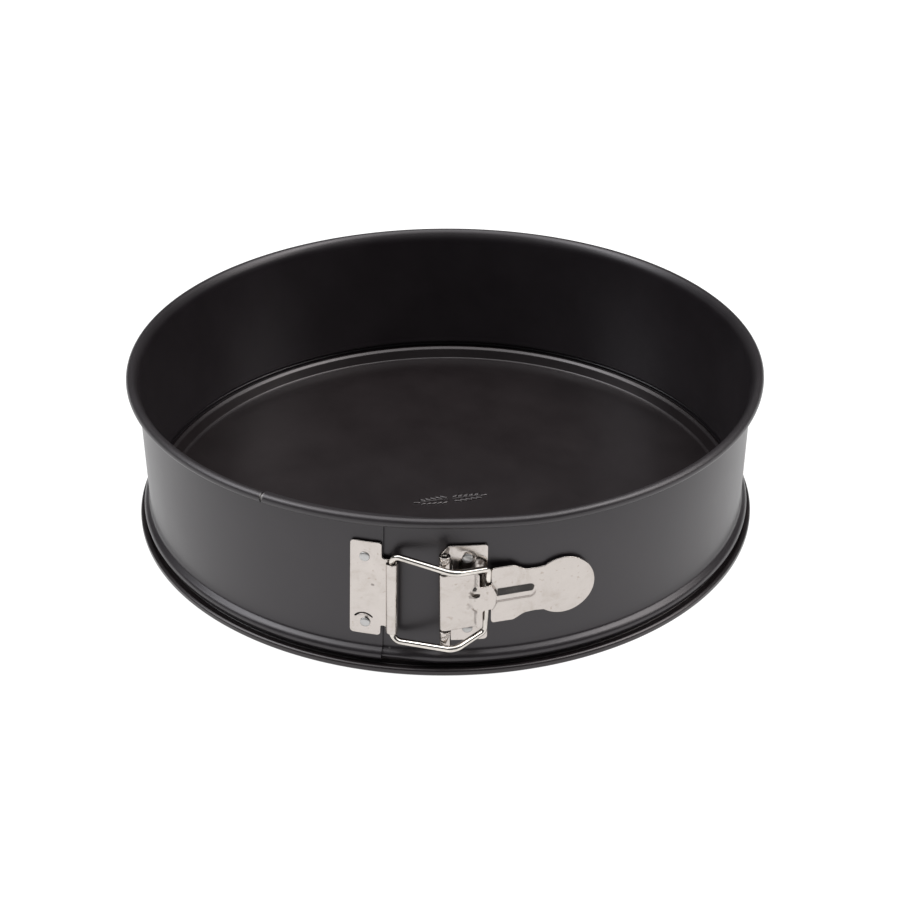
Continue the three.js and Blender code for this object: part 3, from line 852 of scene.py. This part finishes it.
# ---- hinge plate
def hinge_plate():
    t = 0.85
    r = 130.92 + t / 2
    wall = np.array([az_point(r, a) for a in np.linspace(6.9, 1.25, 70)])
    R = 1.8
    wrap = 275.0
    # off the wall, round the far side of the pin and back over its front
    corner = np.array([1.3, -r])
    dx, dy = HINGE - corner
    go = math.atan2(dy, dx) - math.asin(R / math.hypot(dx, dy))
    start = math.degrees(go) + 270
    knuckle = circle_pts(HINGE, R, start, start + wrap)
    bend = fillet([(wall[-1][0], wall[-1][1], 0), (corner[0], corner[1], 2.4), (knuckle[0][0], knuckle[0][1], 0)], closed=False, seg=22)
    path = PlanPath(np.vstack([wall[:-1], bend, knuckle[1:]]), outward_left=True)
    s_plate = float(length_of(wall)[-1])
    total = path.s[-1]
    s_k = total - math.radians(wrap) * R
    cut = s_plate + 0.2
    outline = fillet([
        (0, 14.7, 1.5), (cut + 0.6, 14.7, 0.6), (cut + 1.6, 15.2, 0.6), (total, 15.5, 0.3), (total, 22.9, 0.3), (cut, 22.9, 0.8),
        (cut, 49.1, 0.8), (total, 49.1, 0.3), (total, 56.2, 0.3), (s_k, 56.4, 0.8), (cut + 1.6, 57.3, 1.6), (0, 57.4, 1.3),
    ], seg=8)
    sr = math.radians(6.9 - 3.6) * r

    def place(s, v, h):
        q, n = path.at(s)
        riv = 0
        for zz in (51.9, 20.4):
            d = np.hypot(s - sr, v - zz)
            riv = riv - 0.07 * np.exp(-((d - 2.6) / 0.6) ** 2)
        # shallow dent at the corner
        dent = -0.22 * np.exp(-(((s - 2.6) / 1.3) ** 2 + ((v - 49.6) / 1.1) ** 2))
        k = (riv + dent) * (1 - smooth(s_plate - 0.5, s_plate + 1, s)) + 0.03
        # crimp marks across each knuckle
        for zz in (52.8, 19.2):
            zd = np.abs(v - zz)
            on = smooth(s_k + 1.0, s_k + 1.8, s) * (1 - smooth(s_k + 5.0, s_k + 5.8, s))
            k = k + 0.24 * np.exp(-((zd - 0.62 * np.clip(s - s_k - 1.2, 0, 4.5)) / 0.36) ** 2) * on
        q = q + n * (h + k)[:, None]
        return np.stack([q[:, 0], q[:, 1], v], 1)

    return sheet_piece("hinge_plate_visual", [outline], place, t, MAT_PLATE, rb=0.28, pitch=0.4)


hp = hinge_plate()
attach(hp, "band_right")
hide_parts("hinge_plate")


# ---- lever
def lever():
    t = 0.9
    N0 = 1.8
    wrap = 240.0
    arc_len = math.radians(wrap) * N0
    # in (u, n): from the free end of the barrel round to the top, then along the lever
    a = np.radians(np.linspace(330, 90, 120))
    bar = np.stack([N0 * np.cos(a), N0 * np.sin(a)], 1)
    line = np.stack([np.linspace(0.05, 60, 400), np.full(400, N0)], 1)
    path = PlanPath(np.vstack([bar, line]), outward_left=True)
    S = lambda u: u + arc_len
    half = [(0.0, 12.3, 0.3), (S(11.9), 12.3, 0.9), (S(11.9), 6.3, 0.9), (S(17.25), 6.3, 0.4), (S(17.3), 10.2, 0.6), (S(17.35), 12.25, 2.2), (S(25.9), 12.3, 2.2), (S(30.2), 9.85, 5), (S(34.6), 9.65, 5), (S(37.3), 9.95, 3)]
    pad = [(S(45.35) + 12.45 * math.cos(math.radians(q)), 12.45 * math.sin(math.radians(q)), 0) for q in np.linspace(127, 0, 40)]
    top = half + pad
    bot = [(u + (1.3 if abs(u - S(11.9)) < 0.01 else 0), -4.4 if v == 6.3 else -v, r) for u, v, r in reversed(top[:-1])]
    outline = fillet(top + bot, seg=8)
    hole = np.array([(S(10.9) + 1.3 * math.cos(q), 2.5 + 0.78 * math.sin(q) + 0.5 * math.cos(q)) for q in np.linspace(0, 2 * math.pi, 24, endpoint=False)])

    def place(s, v, h):
        u = s - arc_len
        q, n = path.at(s)
        av = np.abs(v)
        # raised bridge over the wire
        foot = smooth(8.6, 12.0, u)
        lat = 1 - smooth(2.2 + 2.6 * foot, 4.6 + 1.6 * foot, av)
        bridge = 2.2 * foot * (1 - smooth(17.6, 20.6, u)) * np.where(u < 11.2, lat, 1.0)
        # right-hand funnel that runs into the rib
        w = 2.9 + 1.55 * np.clip(19.9 - u, 0, 2.9)
        lat2 = 1 - (smooth(np.maximum(w - 3.4, 0.35), w, av)) * smooth(16.4, 17.4, u)
        bridge = bridge * lat2
        rib = 1.6 * smooth(16.5, 18.5, u) * (1 - smooth(0.5, 3.55, np.hypot(np.maximum(u - 31.9, 0), v)))
        k = np.maximum(bridge, rib)
        # slight crown and hand-bent waviness of the thumb pad
        pad_d = np.hypot(u - 45.35, v)
        k = k + 0.28 * (1 - np.clip(pad_d / 12.5, 0, 1) ** 2) * smooth(34, 40, u)
        k = k + 0.06 * np.sin(0.35 * u + 0.8) * np.cos(0.3 * v)
        k = np.where(u < 0.2, 0, k * smooth(0.2, 2.5, u))
        q = q + n * (h + k)[:, None]
        xy = HINGE + q[:, :1] * LT + q[:, 1:] * LN
        return np.stack([xy[:, 0], xy[:, 1], v + 36.2 - 0.022 * np.clip(u - 18, 0, 50)], 1)

    return sheet_piece("lever_visual", [outline, hole], place, t, MAT_LEVER, rb=0.3, pitch=0.5)


lv = lever()
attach(lv, "latch_lever")
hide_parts("lever")


# ---- wire bail
def bail():
    zc = 35.2
    corners = [
        (CATCH[0] + LEAN * (15.0 - 45), CATCH[1], 15.0, 3.4), (3.4, -142.2, zc - 17.0, 5.0), (SEAT[0] - 1.3, SEAT[1] + 0.3, 20.3, 2.1),
        (SEAT[0], SEAT[1], 48.5, 2.1), (3.4, -142.2, zc + 17.0, 5.0), (CATCH[0] + LEAN * (53.5 - 45), CATCH[1], 53.5, 3.3),
    ]
    pts = []
    n = len(corners)
    for i, c in enumerate(corners):
        p = np.array(c[:3])
        a = np.array(corners[i - 1][:3]) - p
        b = np.array(corners[(i + 1) % n][:3]) - p
        a, b = a / np.linalg.norm(a), b / np.linalg.norm(b)
        half = math.acos(float(a @ b)) / 2
        r = c[3]
        d = r / math.tan(half) if half > 0.2 else r
        d = min(d, 5.0)
        rr = d * math.tan(half)
        ctr = p + (a + b) / np.linalg.norm(a + b) * rr / math.sin(half)
        p0, p1 = p + a * d - ctr, p + b * d - ctr
        w = math.acos(max(-1, min(1, float(p0 @ p1) / rr ** 2)))
        for k in range(13):
            t = k / 12
            pts.append(ctr + (math.sin((1 - t) * w) * p0 + math.sin(t * w) * p1) / math.sin(w))
    pts = resample(np.array(pts), 420, True)
    # a round tube of 1.25 mm radius about the path, on frames carried along it without twist
    m, S = len(pts), 28
    tang = np.roll(pts, -1, axis=0) - np.roll(pts, 1, axis=0)
    tang /= np.linalg.norm(tang, axis=1)[:, None]
    u = np.cross([0, -1, 0], tang[0])
    u /= np.linalg.norm(u)
    U = []
    for i in range(m):
        u = u - tang[i] * (u @ tang[i])
        u /= np.linalg.norm(u)
        U.append(u)
    U = np.array(U)
    V = np.cross(tang, U)
    back = U[-1] - tang[0] * (U[-1] @ tang[0])
    tw = math.atan2(back @ V[0], back @ U[0])
    verts, normals = [], []
    for i in range(m):
        for k in range(S):
            a = 2 * math.pi * k / S - tw * i / m
            d = U[i] * math.cos(a) + V[i] * math.sin(a)
            verts.append(pts[i] + 1.25 * d)
            normals.append(d)
    faces = grid_faces(m, S, close_rows=True, close_cols=True, flip=False)
    v = [verts[i] for i in faces[0]]
    nn = np.cross(v[1] - v[0], v[2] - v[0])
    if nn @ np.array(normals[faces[0][0]]) < 0:
        faces = [tuple(reversed(f)) for f in faces]
    return new_object("wire_bail_visual", verts, faces, MAT_WIRE, normals)


wb = bail()
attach(wb, "bail")
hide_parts("wire_bail")


# ---- turned and headed pieces
def turned(name, profile, origin, axis, material, seg=48):
    """profile: (radius, along) from end to end, both on the axis."""
    pts = np.array(profile)
    ax = np.array(axis, float)
    ax /= np.linalg.norm(ax)
    u = np.cross(ax, [0, 0, 1.0]) if abs(ax[2]) < 0.9 else np.cross(ax, [1.0, 0, 0])
    u /= np.linalg.norm(u)
    v = np.cross(ax, u)
    o = np.array(origin, float)
    verts = [o + ax * pts[0][1]]
    for r, z in pts[1:-1]:
        for k in range(seg):
            a = 2 * math.pi * k / seg
            verts.append(o + ax * z + (u * math.cos(a) + v * math.sin(a)) * r)
    verts.append(o + ax * pts[-1][1])
    n = len(pts) - 2
    faces = [(0, 1 + (k + 1) % seg, 1 + k) for k in range(seg)]
    for i in range(n - 1):
        for k in range(seg):
            a, b = 1 + i * seg + k, 1 + i * seg + (k + 1) % seg
            faces.append((a, b, b + seg, a + seg))
    last = len(verts) - 1
    faces += [(last, 1 + (n - 1) * seg + k, 1 + (n - 1) * seg + (k + 1) % seg) for k in range(seg)]
    # orientation from volume
    vol = 0.0
    for f in faces:
        for i in range(1, len(f) - 1):
            vol += np.dot(verts[f[0]] - o, np.cross(verts[f[i]] - o, verts[f[i + 1]] - o))
    if vol < 0:
        faces = [tuple(reversed(f)) for f in faces]
    return new_object(name, verts, faces, material)


def rivet_profile(inner, plate_out, inner_head, head=2.0, dome=0.85):
    p = [(0, inner)]
    if inner_head:
        p += [(1.9, inner), (2.1, inner + 0.08), (2.2, inner + 0.25), (2.15, inner + 0.42), (1.35, inner + 0.46)]
    else:
        p += [(1.2, inner), (1.3, inner + 0.06)]
    p += [(1.3, plate_out - 0.3), (1.3, plate_out - 0.02)]
    # domed head with a rolled edge and a slightly flattened crown
    p += [(head - 0.12, plate_out), (head, plate_out + 0.1), (head - 0.03, plate_out + 0.26)]
    for k in range(1, 13):
        a = math.pi / 2 * k / 13
        p.append(((head - 0.03) * math.cos(a) ** 0.9, plate_out + 0.26 + (dome - 0.26) * math.sin(a) ** 0.85))
    p.append((0, plate_out + dome))
    return p


RIVETS = {
    "catch_rivet_upper": (-12.9, 50.65, 130.06, "band_left", 131.62),
    "catch_rivet_lower": (-13.2, 20.9, 130.06, "band_left", 131.62),
    "hinge_rivet_upper": (3.6, 51.9, 129.22, "band_right", 131.78),
    "hinge_rivet_lower": (3.6, 20.4, 129.22, "band_right", 131.78),
}
for name, (az, z, rin, body, rout) in RIVETS.items():
    d = az_point(1, az)
    ob = turned(name + "_visual", rivet_profile(rin, rout, name.startswith("hinge")), (0, 0, z), (d[0], d[1], 0), MAT_RIVET, 56)
    ob.data.set_sharp_from_angle(angle=math.radians(50))
    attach(ob, body)
    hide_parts(name)

pin_prof = [(0, 14.95)] + [(1.0 * math.sin(a), 15.35 - 0.4 * math.cos(a)) for a in np.linspace(0.2, math.pi / 2, 8)]
pin_prof += [(1.0, z) for z in np.linspace(16, 56, 12)]
pin_prof += [(1.0 * math.cos(a), 56.65 + 0.4 * math.sin(a)) for a in np.linspace(0, math.pi / 2 - 0.2, 8)] + [(0, 57.05)]
pin = turned("hinge_pin_visual", pin_prof, (HINGE[0], HINGE[1], 0), (0, 0, 1), MAT_PIN, 40)
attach(pin, "band_right")
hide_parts("hinge_pin")


# ------------------------------------------------------------------ stage
def emission_floor():
    m = bpy.data.materials.new("floor_white")
    m.use_nodes = True
    b = m.node_tree.nodes["Principled BSDF"]
    b.inputs["Base Color"].default_value = (0.14, 0.14, 0.14, 1)
    b.inputs["Roughness"].default_value = 0.9
    b.inputs["Specular IOR Level"].default_value = 0.1
    b.inputs["Emission Color"].default_value = (1, 1, 1, 1)
    b.inputs["Emission Strength"].default_value = 1.0
    return m


bpy.ops.mesh.primitive_plane_add(size=14, location=(0, 0, -0.0002))
floor = bpy.context.object
floor.name = "floor"
floor.data.materials.append(emission_floor())

world = bpy.data.worlds.new("studio")
bpy.context.scene.world = world
world.use_nodes = True
world.node_tree.nodes["Background"].inputs["Color"].default_value = (0.95, 0.97, 1.0, 1)
world.node_tree.nodes["Background"].inputs["Strength"].default_value = 0.10


def area(name, loc, target, size, power, color=(1, 1, 1)):
    l = bpy.data.lights.new(name, "AREA")
    l.shape = "RECTANGLE"
    l.size, l.size_y = size
    l.energy = power
    l.color = color
    o = bpy.data.objects.new(name, l)
    o.location = loc
    o.rotation_euler = (Vector(target) - Vector(loc)).to_track_quat("-Z", "Y").to_euler()
    bpy.context.scene.collection.objects.link(o)
    return o


area("soft_top", (0.0, 0.0, 1.7), (0, 0, 0.03), (3.2, 1.9), 48.0)
area("soft_left", (-1.42, -0.12, 1.45), (0, 0, 0.03), (0.8, 1.6), 19.5, (0.95, 0.975, 1.0))
area("soft_right", (1.42, -0.15, 1.45), (0, 0, 0.03), (0.8, 1.6), 21.0, (1.0, 0.975, 0.955))

# ------------------------------------------------------------------ camera
cam_data = bpy.data.cameras.new("camera")
cam_data.sensor_width = 36
cam_data.lens = 1606.35866 / 900 * 36
cam_data.clip_start = 0.01
cam_data.clip_end = 60
cam = bpy.data.objects.new("camera", cam_data)
elev, roll = math.radians(30.52422), -2.8499622e-03
tgt = Vector((0.00200664, 0, 0.0200604865))
back = Vector((0, -math.cos(elev), math.sin(elev)))
right0 = Vector((1, 0, 0))
up0 = back.cross(right0)
right = right0 * math.cos(roll) + up0 * math.sin(roll)
up = back.cross(right)
rot = Matrix((right, up, back)).transposed()
cam.matrix_world = Matrix.Translation(tgt + back * 0.7144099) @ rot.to_4x4()
bpy.context.scene.collection.objects.link(cam)
bpy.context.scene.camera = cam
bpy.context.scene.view_settings.view_transform = "Standard"
bpy.context.scene.view_settings.look = "None"
